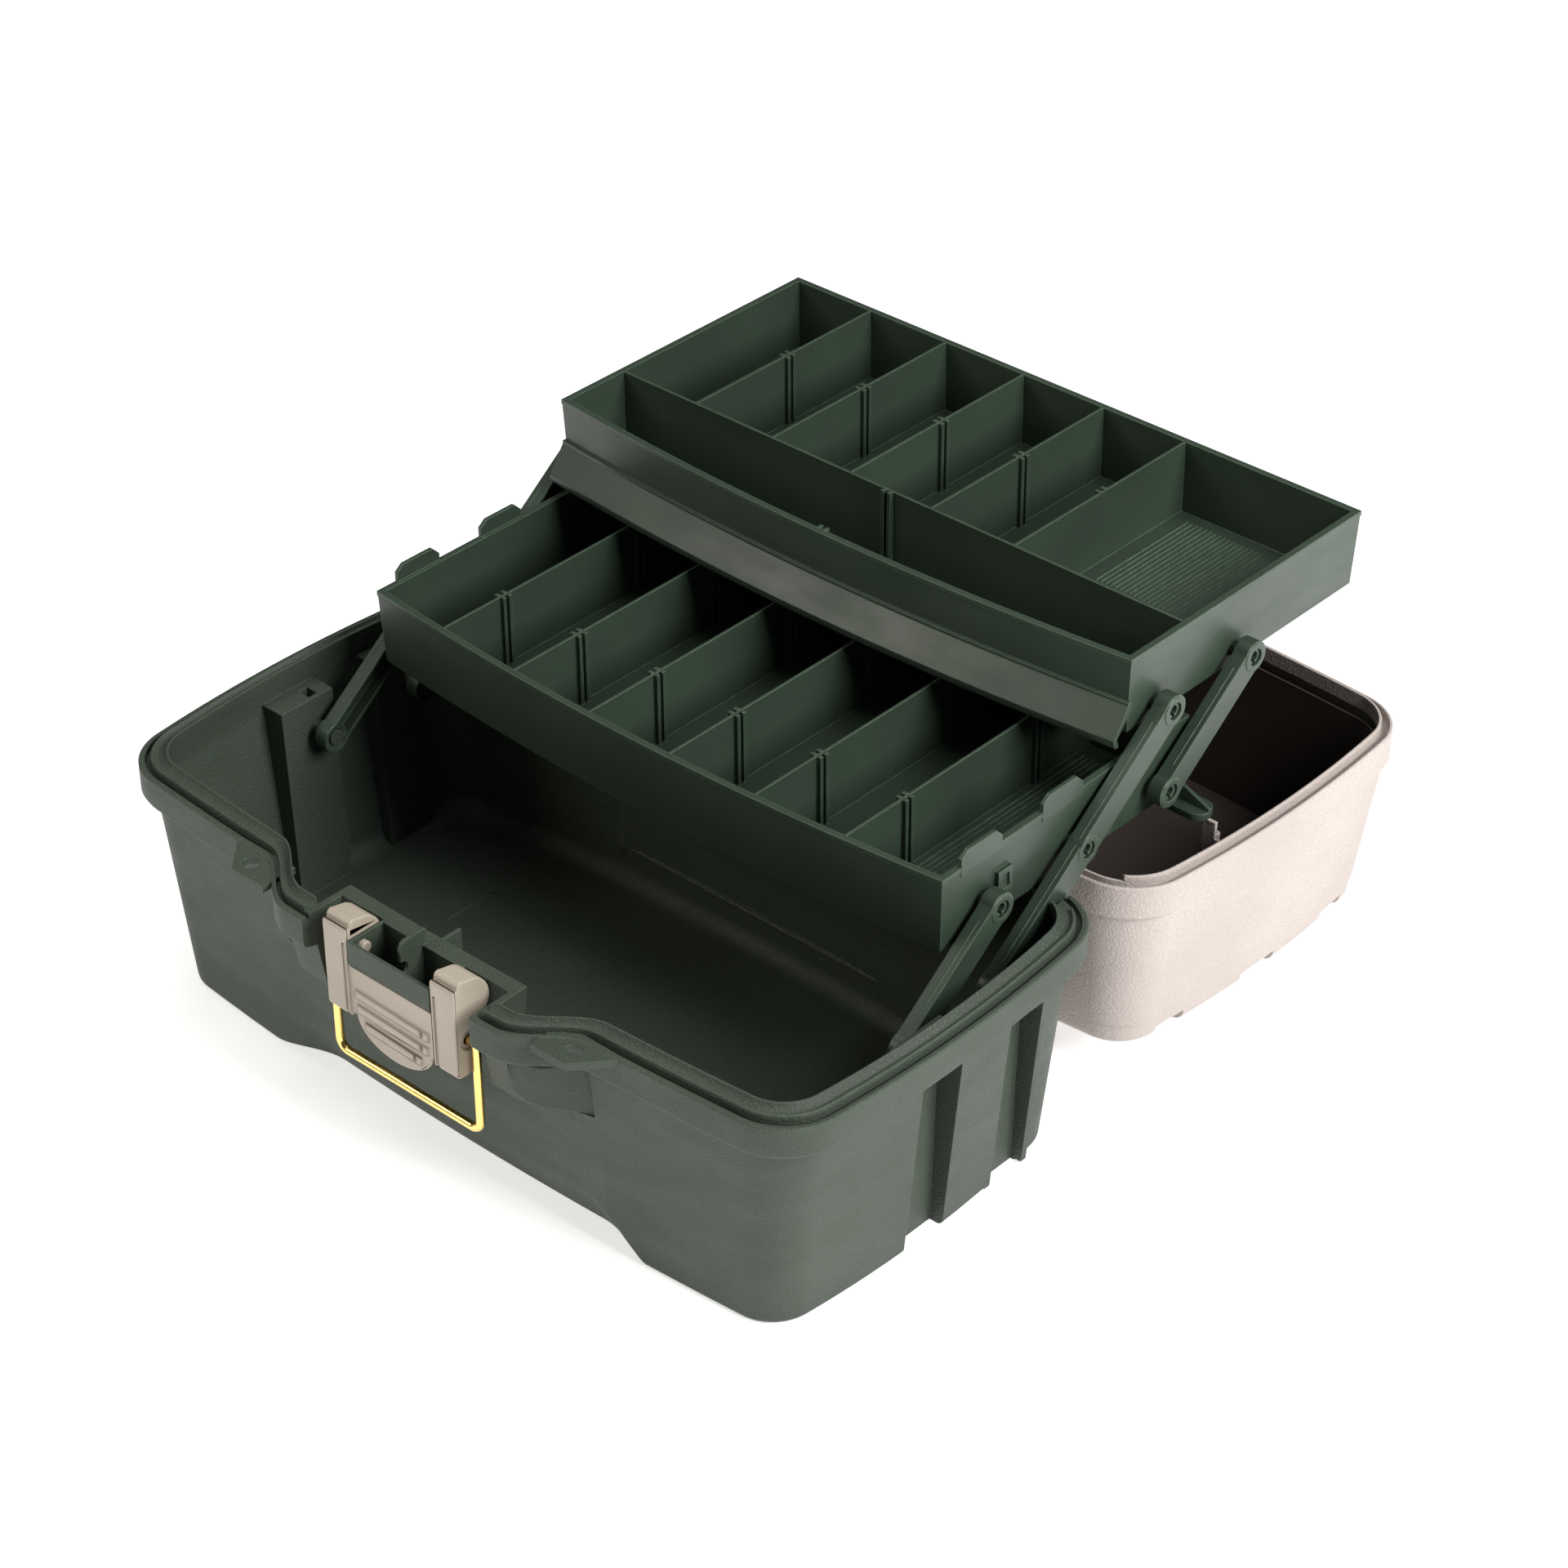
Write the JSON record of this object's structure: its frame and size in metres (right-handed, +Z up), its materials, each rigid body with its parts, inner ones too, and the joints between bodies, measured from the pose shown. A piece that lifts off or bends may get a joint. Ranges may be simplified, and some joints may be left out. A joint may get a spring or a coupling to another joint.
{
  "type": "fishing tackle box",
  "caption": "Hinged plastic tackle box standing open, with cantilever trays on swinging arms, a lever latch with a wire bail, a padlock eye on each side and covered compartments in the lid.",
  "frame": {"origin": "centre of the tub's flat bottom, on the floor", "axes": "+X to the right along the box, +Y from the latch towards the open lid, +Z up"},
  "size_m": [0.413, 0.4729, 0.2056],
  "materials": {
    "dark_green_plastic": "fine leather-like grain, satin",
    "tray_green_plastic": "smooth satin",
    "beige_plastic": "fine leather-like grain, satin",
    "dark_brown_plastic": "smooth satin",
    "brass_wire": "polished",
    "steel_wire": "drawn wire"
  },
  "bodies": {
    "tub": {"base_tub": "dark_green_plastic", "lid_hinge_pin_left": "steel_wire", "lid_hinge_pin_right": "steel_wire"},
    "lid": {"lid_shell": "beige_plastic", "lid_liner": "dark_brown_plastic", "cover_hinge_pin_left": "steel_wire", "cover_hinge_pin_right": "steel_wire", "handle_pin_left": "steel_wire", "handle_pin_right": "steel_wire"},
    "cover_left": {"access_cover_left": "beige_plastic"},
    "cover_right": {"access_cover_right": "beige_plastic"},
    "handle": {"carry_handle": "beige_plastic"},
    "latch": {"latch": "beige_plastic"},
    "bail": {"bail": "brass_wire"},
    "front_arms": {"front_arm_left": "tray_green_plastic", "front_arm_right": "tray_green_plastic"},
    "long_arms": {"long_arm_left": "tray_green_plastic", "long_arm_right": "tray_green_plastic"},
    "upper_arms": {"upper_arm_left": "tray_green_plastic", "upper_arm_right": "tray_green_plastic"},
    "lower_tray": {"lower_tray": "tray_green_plastic"},
    "upper_tray": {"upper_tray": "tray_green_plastic"}
  },
  "joints": [
    {"name": "long_arms_swing", "type": "hinge", "parent": "tub", "child": "long_arms", "pos_m": [0, 0.0578, 0.0903], "axis": [1, 0, 0], "range_deg": [0, 109.5]},
    {"name": "front_arms_swing", "type": "hinge", "parent": "tub", "child": "front_arms", "pos_m": [0, 0.0012, 0.0903], "axis": [1, 0, 0], "range_deg": [0, 109.5]},
    {"name": "lower_tray_pivot", "type": "hinge", "parent": "long_arms", "child": "lower_tray", "pos_m": [0, 0.1137, 0.13243], "axis": [1, 0, 0], "range_deg": [-109.5, 0]},
    {"name": "upper_arms_swing", "type": "hinge", "parent": "lower_tray", "child": "upper_arms", "pos_m": [0, 0.1703, 0.13243], "axis": [1, 0, 0], "range_deg": [0, 109.5]},
    {"name": "upper_tray_pivot", "type": "hinge", "parent": "long_arms", "child": "upper_tray", "pos_m": [0, 0.16961, 0.17455], "axis": [1, 0, 0], "range_deg": [-109.5, 0]},
    {"name": "lid_hinge", "type": "hinge", "parent": "tub", "child": "lid", "pos_m": [0, 0.11, 0.115], "axis": [1, 0, 0], "range_deg": [0, 181.65]},
    {"name": "latch_swing", "type": "hinge", "parent": "tub", "child": "latch", "pos_m": [0, -0.117, 0.111], "axis": [1, 0, 0], "range_deg": [-80, 0]},
    {"name": "bail_swing", "type": "hinge", "parent": "latch", "child": "bail", "pos_m": [0, -0.1168, 0.0938], "axis": [1, 0, 0], "range_deg": [-155, 12]},
    {"name": "handle_swing", "type": "hinge", "parent": "lid", "child": "handle", "pos_m": [0, 0.20231, 0.0203], "axis": [1, 0, 0], "range_deg": [-90, 0]},
    {"name": "cover_left_swing", "type": "hinge", "parent": "lid", "child": "cover_left", "pos_m": [-0.186, 0.21733, 0.02087], "axis": [0, 0.9996, -0.0288], "range_deg": [0, 100]},
    {"name": "cover_right_swing", "type": "hinge", "parent": "lid", "child": "cover_right", "pos_m": [0.186, 0.21733, 0.02087], "axis": [0, 0.9996, -0.0288], "range_deg": [-100, 0]}
  ],
  "couplings": [
    {"joint": "front_arms_swing", "follows": "long_arms_swing", "ratio": 1},
    {"joint": "lower_tray_pivot", "follows": "long_arms_swing", "ratio": -1},
    {"joint": "upper_arms_swing", "follows": "long_arms_swing", "ratio": 1},
    {"joint": "upper_tray_pivot", "follows": "long_arms_swing", "ratio": -1},
    {"joint": "lid_hinge", "follows": "long_arms_swing", "ratio": 1.4}
  ]
}
